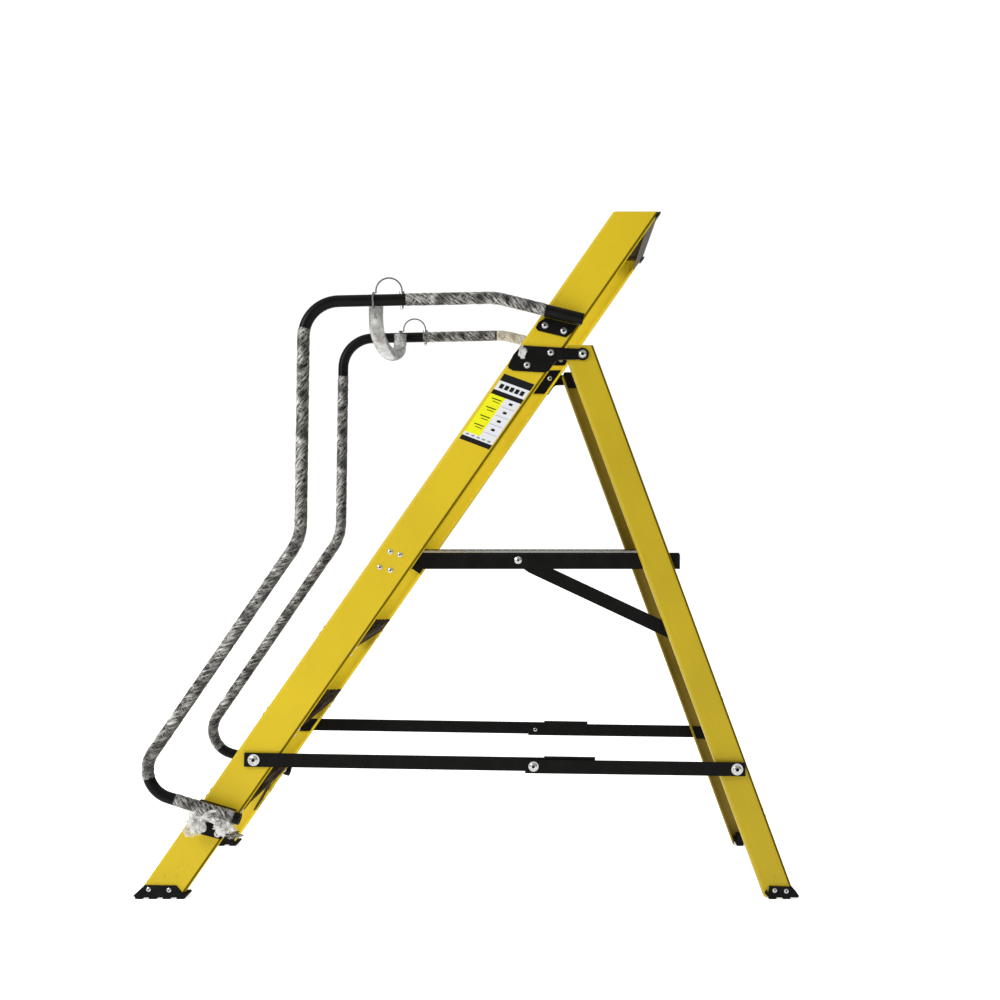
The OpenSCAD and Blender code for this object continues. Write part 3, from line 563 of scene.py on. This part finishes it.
# ---------- barrier ----------
BARRIER_Y = -0.217
ROUTE = [(257, 1428), (257, 1410), (256, 1392), (250, 1374), (234, 1360), (205, 1350), (160, 1343),
         (110, 1339), (55, 1338), (0, 1340), (-55, 1345), (-110, 1352), (-160, 1361), (-205, 1371),
         (-235, 1381), (-251, 1395), (-257, 1411), (-257, 1428)]
SLEEVE_DIAMETER = 0.036
SLEEVE_INSET = 0.7 * MM     # how far the drawn tube stays inside the CAD one
LINK_PITCH, LINK_WIRE, LINK_HALF_WIDTH = 0.019, 0.0017, 0.0052


def smooth_route(points, per_span):
    """A Catmull-Rom line through given points."""
    out = []
    padded = [points[0] * 2 - points[1]] + points + [points[-1] * 2 - points[-2]]
    for a, b, c, d in zip(padded, padded[1:], padded[2:], padded[3:]):
        for k in range(per_span):
            t = k / per_span
            out.append(0.5 * (2 * b + (c - a) * t + (2 * a - 5 * b + 4 * c - d) * t * t
                              + (3 * b - a - 3 * c + d) * t ** 3))
    return out + [points[-1]]


def line_length(points):
    return sum((b - a).length for a, b in zip(points, points[1:]))


def make_barrier():
    """The sleeve in place of the CAD one, and the chain inside it."""
    route = smooth_route([Vector((x * MM, BARRIER_Y, z * MM)) for x, z in ROUTE], 6)
    bm = bmesh.new()
    total = line_length(route)

    def radius(distance, angle):
        near_end = min(distance, total - distance)
        lip = 0.6 * MM * max(0.0, 1 - near_end / 0.008)
        spot = Vector((distance * 40, math.cos(angle), math.sin(angle)))
        return SLEEVE_DIAMETER / 2 - SLEEVE_INSET + lip + 0.5 * MM * noise.noise(spot)

    sweep(bm, route, radius, 28, across=(0, 1, 0))
    sleeve = make_piece("barrier_tube", bm, [SLEEVE], "front_frame", 60)
    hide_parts("barrier_sleeve")
    links = bmesh.new()
    count = int(total / LINK_PITCH)
    for i in range(count):
        place = (i + 0.5) * total / count
        travelled = 0.0
        for a, b in zip(route, route[1:]):
            step = (b - a).length
            if travelled + step >= place:
                break
            travelled += step
        centre = a.lerp(b, (place - travelled) / step)
        along = (b - a).normalized()
        flat = Vector((0, 1, 0)) if i % 2 else along.cross(Vector((0, 1, 0)))
        loop = []
        for k in range(25):
            t = 2 * math.pi * k / 24
            stretch_out = (LINK_PITCH / 2 + LINK_WIRE - LINK_HALF_WIDTH) * (1 if math.cos(t) > 0 else -1)
            loop.append(centre + along * (LINK_HALF_WIDTH * math.cos(t) + stretch_out)
                        + flat * LINK_HALF_WIDTH * math.sin(t))
        sweep(links, loop, lambda d, t: LINK_WIRE, 8, across=along.cross(flat), closed_ends=False)
    chain = make_piece("barrier_chain", links, [ZINC], "front_frame", 60)


make_barrier()


# ---------- bolt heads ----------
def head(bm, centre, outward, radius, socket):
    """A domed head: a rim, a dome and a round recess that ends in a floor painted dark as shade."""
    rise = radius * 0.34
    lathe(bm, centre, outward, [
        (0, 0.0), (0, radius * 1.02), (rise * 0.30, radius * 1.02), (rise * 0.62, radius * 0.90),
        (rise * 0.88, radius * 0.70), (rise, radius * 0.50), (rise * 0.98, socket * 1.08),
        (rise * 0.92, socket), (rise * 0.70, socket * 0.9), (rise * 0.70, 0.0)], 28)
    for face in bm.faces:
        middle = face.calc_center_median() - centre
        across = middle - outward * middle.dot(outward)
        if across.length < socket * 0.97 and middle.dot(outward) > rise * 0.2:
            face.material_index = 1


HEAD_TO_SOCKET = 2.15   # a head's radius over its socket's
HEAD_SEAT = 0.20        # how much of its radius a head sits into the bolt's end
KNEE_SOCKET = 0.0026
NUT_ENDS = ("hinge_pivot_bolts", "hinge_plate_bolts", "spreader_bolts_front", "spreader_bolts_rear")
HEADS = {   # node: its socket's radius
    "hinge_plate_bolts": 0.0030, "hinge_pivot_bolts": 0.0036, "rail_bracket_bolts": 0.0030,
    "platform_bracket_rivets": 0.0021, "front_shoe_rivets": 0.0018, "rear_shoe_rivets": 0.0018,
    "spreader_bolts_front": 0.0042, "spreader_bolts_rear": 0.0042, "strut_pivot_pin": 0.0026,
    "knee_rivet_r": 0.0036, "knee_rivet_l": 0.0036,
}


def add_head(bm, centre, tip, facing, socket):
    """Adds a head to bm, seated just under the end face at x = tip."""
    single = bmesh.new()
    radius = socket * HEAD_TO_SOCKET
    place = Vector((tip - facing * radius * HEAD_SEAT, centre.y, centre.z))
    head(single, place, Vector((facing, 0, 0)), radius, socket)
    mesh = bpy.data.meshes.new("head")
    single.to_mesh(mesh)
    single.free()
    bm.from_mesh(mesh)
    bpy.data.meshes.remove(mesh)


def make_heads():
    """A domed cap on the outer end of each bolt and rivet, on the body of its own node."""
    for node, socket in HEADS.items():
        body = frame["nodes"][node]["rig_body"]
        bm = bmesh.new()
        for low, high in islands(node):
            side = 1 if low.x + high.x > 0 else -1
            for facing in (side, -side)[:2 if node in NUT_ENDS else 1]:
                add_head(bm, (low + high) / 2, high.x if facing > 0 else low.x, facing, socket)
        make_piece(node + "_heads", bm, [ZINC, SOCKET_SHADE], body, 40)


make_heads()


def make_knee_backs():
    """The riveted-over end of each knee rivet, on the inner face of the front spreader bar."""
    for side, letter in ((1, "r"), (-1, "l")):
        low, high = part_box("knee_rivet_" + letter)
        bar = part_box("spreader_front_" + letter)
        face = bar[0].x if side > 0 else bar[1].x
        bm = bmesh.new()
        add_head(bm, (low + high) / 2, face, -side, KNEE_SOCKET)
        make_piece("knee_back_" + letter, bm, [ZINC, SOCKET_SHADE], "spreader_front_" + letter, 40)


make_knee_backs()


# ---------- label ----------
# (y from the stile's middle line, z) of the label's corners
LABEL_CORNERS = [(-0.045, 1.100), (0.045, 1.073), (0.045, 1.2285), (-0.045, 1.2545)]
STILE_FOOT_Y = -0.7382  # where the front stile's middle line meets the floor


def label_spot(u, v):
    """The (y, z) place at u across and v up the label."""
    corners = [Vector((STILE_FOOT_Y + math.tan(FRONT_LEAN) * z + y, z)) for y, z in LABEL_CORNERS]
    return corners[0].lerp(corners[1], u).lerp(corners[3].lerp(corners[2], u), v)


def make_label():
    """Plain printed bands and bars on the rating label, with no lettering."""
    face_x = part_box("rating_label")[1].x
    ink = [(0, 1, 0.90, 1.0), (0, 1, 0.70, 0.765), (0, 1, 0.0, 0.065)]
    gold = [(0.0, 0.50, 0.12, 0.70)]
    grey = []
    for k in range(5):
        ink.append((0.10 + 0.17 * k, 0.22 + 0.17 * k, 0.80, 0.865))
        grey.append((0.08 + 0.18 * k, 0.18 + 0.18 * k, 0.085, 0.105))
    for k in range(4):
        z = 0.64 - 0.13 * k
        ink += [(0.12, 0.44, z, z + 0.014), (0.20, 0.42, z - 0.034, z - 0.024)]
        ink.append((0.68, 0.80, z - 0.010, z + 0.022))
        grey.append((0.54, 0.96, z - 0.060, z - 0.055))
    rows = [("label_ink", ink, LABEL_BLACK, 0.24), ("label_yellow", gold, LABEL_YELLOW, 0.12),
            ("label_grey", grey, LABEL_GREY, 0.24)]
    for name, bars, material, lift in rows:
        bm = bmesh.new()
        for u0, u1, v0, v1 in bars:
            quad = [label_spot(u, v) for u, v in ((u0, v0), (u1, v0), (u1, v1), (u0, v1))]
            low = [bm.verts.new((face_x - 0.0001, y, z)) for y, z in quad]
            high = [bm.verts.new((face_x + lift * MM, y, z)) for y, z in quad]
            bm.faces.new(high)
            bm.faces.new(low[::-1])
            for k in range(4):
                n = (k + 1) % 4
                bm.faces.new((low[k], low[n], high[n], high[k]))
        make_piece(name, bm, [material], "front_frame", 20)


make_label()


# ---------- loose film ----------
def crumple(name, centre, size, seed, material):
    """A crushed scrap of film: a closed sheet pushed in and out along a few sharp folds."""
    bm = bmesh.new()
    bmesh.ops.create_icosphere(bm, subdivisions=3, radius=1.0)
    for vertex in bm.verts:
        p = vertex.co.copy()
        q = p + Vector((seed, seed * 0.7, -seed))
        ridge = 1 - abs(noise.noise(q * 1.4)) * 3.6
        fine = 1 - abs(noise.noise(q * 3.1)) * 3.0
        scale = 0.50 + 0.42 * ridge + 0.34 * fine
        vertex.co = Vector(centre) + Vector((p.x * size[0], p.y * size[1], p.z * size[2])) * scale
    return make_piece(name, bm, [material], "front_frame", 16)


SCRAPS = [  # name, centre, size, seed, material
    ("film_bunch_1", (0.303, -0.636, 0.193), (0.015, 0.030, 0.034), 1.7, SCRAP),
    ("film_bunch_2", (0.304, -0.598, 0.205), (0.014, 0.040, 0.018), 4.1, SCRAP),
    ("film_bunch_3", (0.301, -0.570, 0.180), (0.014, 0.030, 0.024), 7.3, SCRAP),
    ("film_bunch_4", (0.300, -0.652, 0.166), (0.009, 0.016, 0.012), 2.9, SCRAP),
    ("film_tail", (0.292, -0.553, 0.157), (0.010, 0.024, 0.009), 5.5, TAIL),
    ("film_wisp", (0.278, 0.134, 1.304), (0.003, 0.010, 0.017), 9.9, SCRAP),
]
for scrap in SCRAPS:
    crumple(*scrap)


# ---------- studio ----------
def make_studio():
    bm = bmesh.new()
    bmesh.ops.create_grid(bm, x_segments=1, y_segments=1, size=30)
    mesh = bpy.data.meshes.new("floor")
    bm.to_mesh(mesh)
    bm.free()
    floor = bpy.data.objects.new("floor", mesh)
    bpy.context.scene.collection.objects.link(floor)
    m = Nodes("floor_white", Roughness=0.9, Base_Color=rgb(0.9, 0.9, 0.9), Specular_IOR_Level=0.1,
              Emission_Color=rgb(1, 1, 1), Emission_Strength=0.66)
    mesh.materials.append(m.material)

    world = bpy.data.worlds.new("studio")
    world.use_nodes = True
    bpy.context.scene.world = world
    nodes, links = world.node_tree.nodes, world.node_tree.links
    backdrop = nodes["Background"]
    backdrop.inputs["Color"].default_value = rgb(1, 1, 1)
    backdrop.inputs["Strength"].default_value = 1.05
    # What lights the object is dimmer than the white backdrop: bright above, dark at the horizon
    direction = nodes.new("ShaderNodeSeparateXYZ")
    links.new(nodes.new("ShaderNodeTexCoord").outputs["Generated"], direction.inputs[0])
    glow = nodes.new("ShaderNodeValToRGB")
    links.new(direction.outputs["Z"], glow.inputs["Fac"])
    for element, (place, level) in zip(glow.color_ramp.elements, ((0.0, 0.12), (0.9, 0.95))):
        element.position = place
        element.color = rgb(level, level, level)
    dome = nodes.new("ShaderNodeBackground")
    links.new(glow.outputs["Color"], dome.inputs["Color"])
    switch = nodes.new("ShaderNodeMixShader")
    links.new(nodes.new("ShaderNodeLightPath").outputs["Is Camera Ray"], switch.inputs[0])
    links.new(dome.outputs[0], switch.inputs[1])
    links.new(backdrop.outputs[0], switch.inputs[2])
    links.new(switch.outputs[0], nodes["World Output"].inputs["Surface"])

    def light(name, place, aim, size, power):
        data = bpy.data.lights.new(name, "AREA")
        data.shape = "RECTANGLE"
        data.size, data.size_y = size
        data.energy = power
        lamp = bpy.data.objects.new(name, data)
        lamp.location = place
        lamp.rotation_euler = (Vector(aim) - Vector(place)).to_track_quat("-Z", "Y").to_euler()
        bpy.context.scene.collection.objects.link(lamp)

    light("key", (2.4, -3.0, 2.6), (0, -0.1, 0.7), (1.4, 1.4), 90)
    light("fill", (-2.6, 1.8, 2.8), (0, 0, 0.8), (1.6, 1.6), 25)


make_studio()
bpy.context.scene.view_settings.view_transform = "Standard"
